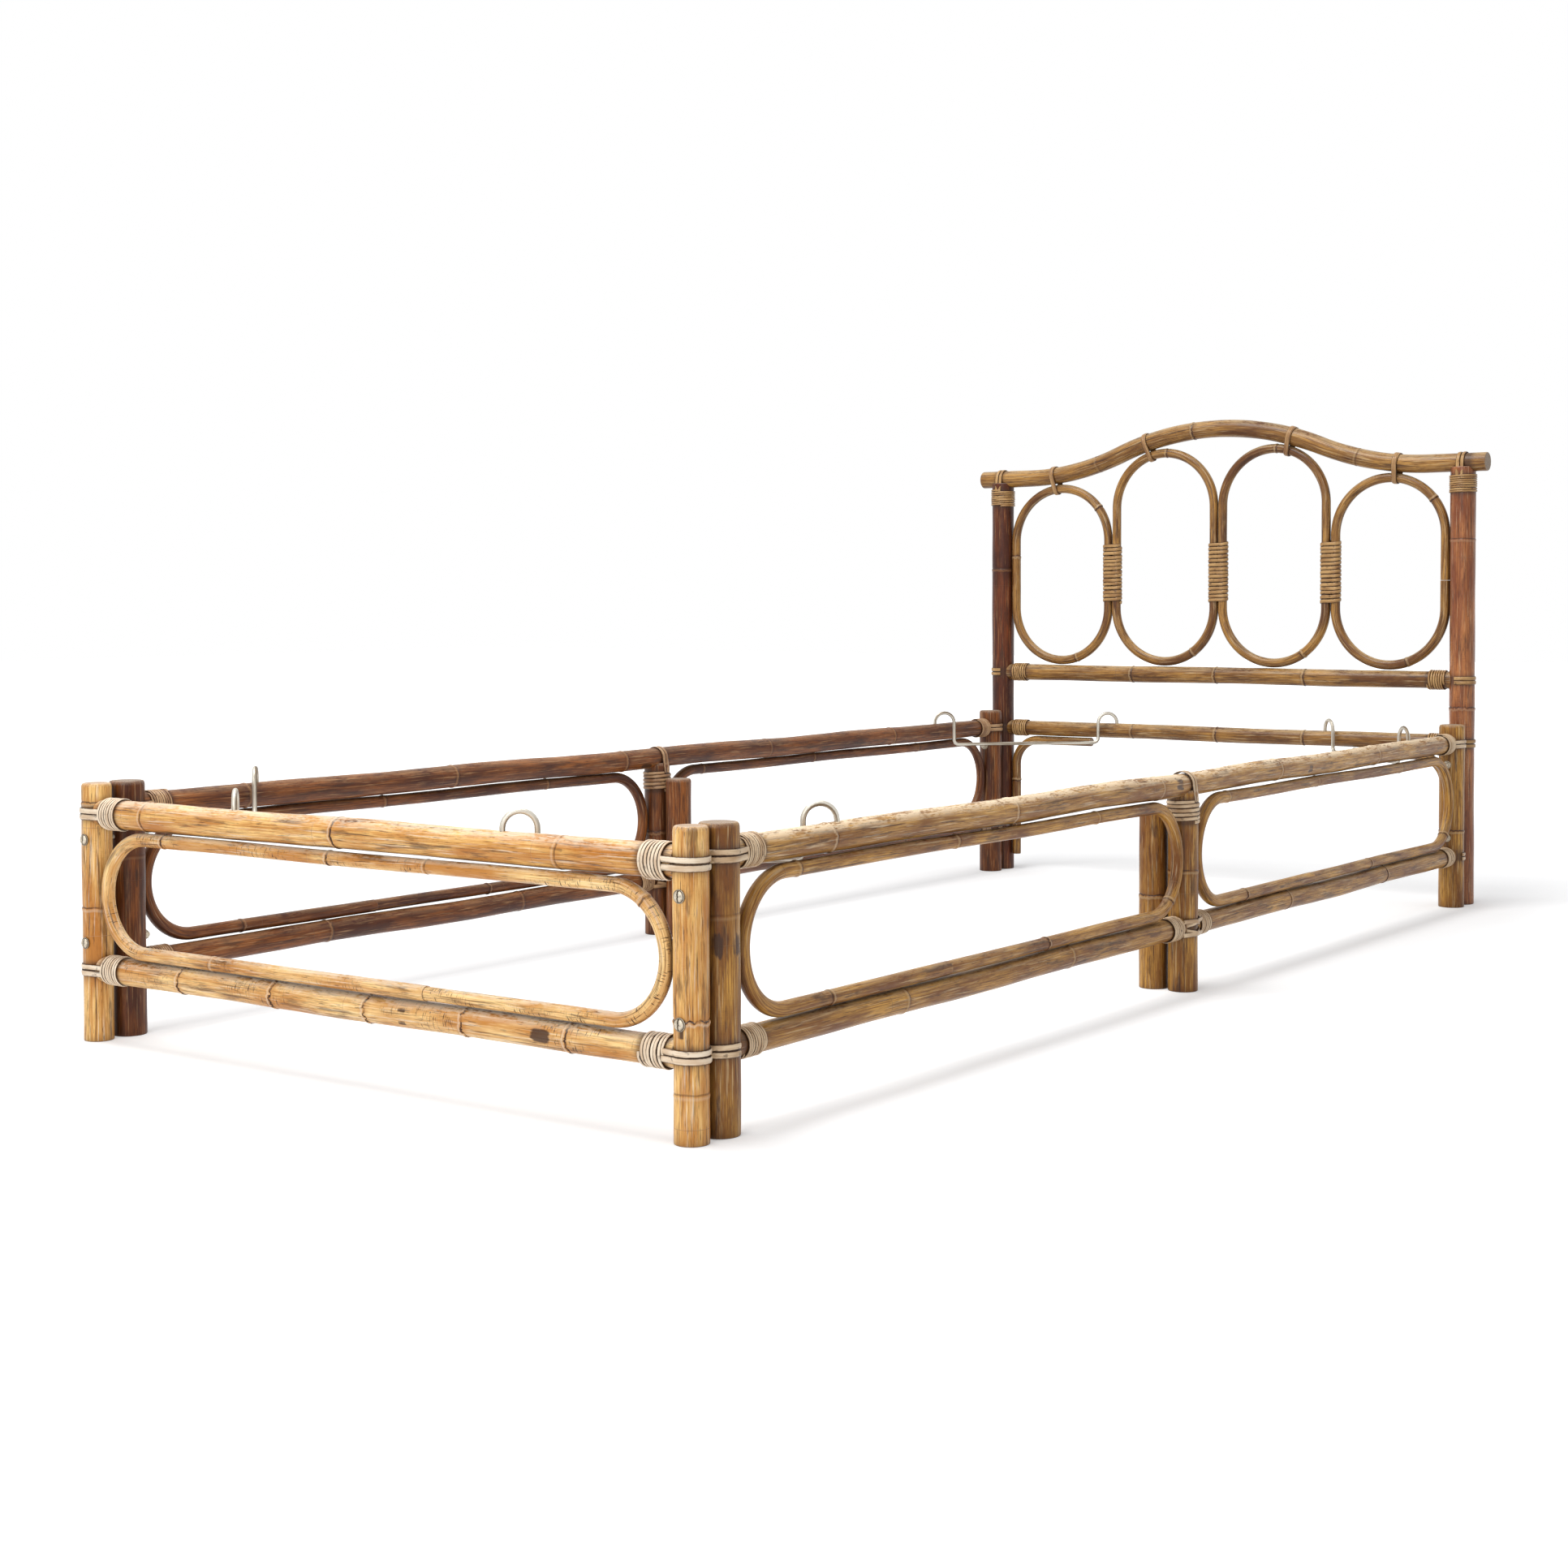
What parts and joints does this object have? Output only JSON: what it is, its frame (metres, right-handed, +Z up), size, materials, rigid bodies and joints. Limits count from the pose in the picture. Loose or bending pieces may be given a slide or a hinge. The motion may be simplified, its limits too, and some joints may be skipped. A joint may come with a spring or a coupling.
{
  "type": "single bed frame",
  "caption": "Single bed frame of rattan poles and bent cane loops, with a crowned headboard, low foot and side panels, peel-lashed joints and lift-out corner wires.",
  "frame": {"origin": "on the floor, in the middle of the bed's overall box", "axes": "+Y from the foot end to the head end, +X to the right seen from the foot end, +Z up"},
  "size_m": [0.932, 2.0334, 0.7964],
  "materials": {
    "rattan_honey": "satin",
    "rattan_side": "satin",
    "rattan_brown": "satin",
    "rattan_red": "gloss",
    "rattan_olive": "satin",
    "cane_peel": "satin",
    "wire": "satin",
    "bolt": "satin"
  },
  "bodies": {
    "frame": {"corner_bolts": "bolt", "corner_nuts": "bolt", "foot_bottom_rail": "rattan_honey", "foot_lashings": "cane_peel", "foot_loop": "rattan_honey", "foot_post_left": "rattan_honey", "foot_post_right": "rattan_honey", "foot_top_rail": "rattan_honey", "head_brace_left": "rattan_olive", "head_brace_right": "rattan_olive", "head_lashings": "cane_peel", "head_loop_1": "rattan_olive", "head_loop_2": "rattan_olive", "head_loop_3": "rattan_olive", "head_loop_4": "rattan_olive", "head_loop_bindings": "cane_peel", "head_loop_ties": "cane_peel", "head_middle_rail": "rattan_olive", "head_post_left": "rattan_red", "head_post_right": "rattan_red", "head_seat_rail": "rattan_olive", "head_top_rail": "rattan_olive", "left_front_bottom_rail": "rattan_brown", "left_front_loop": "rattan_brown", "left_front_post": "rattan_brown", "left_inner_post": "rattan_brown", "left_lashings": "cane_peel", "left_middle_post": "rattan_brown", "left_rear_bottom_rail": "rattan_brown", "left_rear_loop": "rattan_brown", "left_rear_post": "rattan_brown", "left_top_rail": "rattan_brown", "right_front_bottom_rail": "rattan_side", "right_front_loop": "rattan_side", "right_front_post": "rattan_side", "right_inner_post": "rattan_side", "right_lashings": "cane_peel", "right_middle_post": "rattan_side", "right_rear_bottom_rail": "rattan_side", "right_rear_loop": "rattan_side", "right_rear_post": "rattan_side", "right_top_rail": "rattan_side"},
    "corner_wire_front_left": {"corner_wire_front_left": "wire"},
    "corner_wire_front_right": {"corner_wire_front_right": "wire"},
    "corner_wire_rear_left": {"corner_wire_rear_left": "wire"},
    "corner_wire_rear_right": {"corner_wire_rear_right": "wire"}
  },
  "joints": [
    {"name": "corner_wire_front_left_lift", "type": "slide", "parent": "frame", "child": "corner_wire_front_left", "axis": [0, 0, 1], "range_m": [0, 0.1]},
    {"name": "corner_wire_front_right_lift", "type": "slide", "parent": "frame", "child": "corner_wire_front_right", "axis": [0, 0, 1], "range_m": [0, 0.1]},
    {"name": "corner_wire_rear_left_lift", "type": "slide", "parent": "frame", "child": "corner_wire_rear_left", "axis": [0, 0, 1], "range_m": [0, 0.045]},
    {"name": "corner_wire_rear_right_lift", "type": "slide", "parent": "frame", "child": "corner_wire_rear_right", "axis": [0, 0, 1], "range_m": [0, 0.045]}
  ]
}
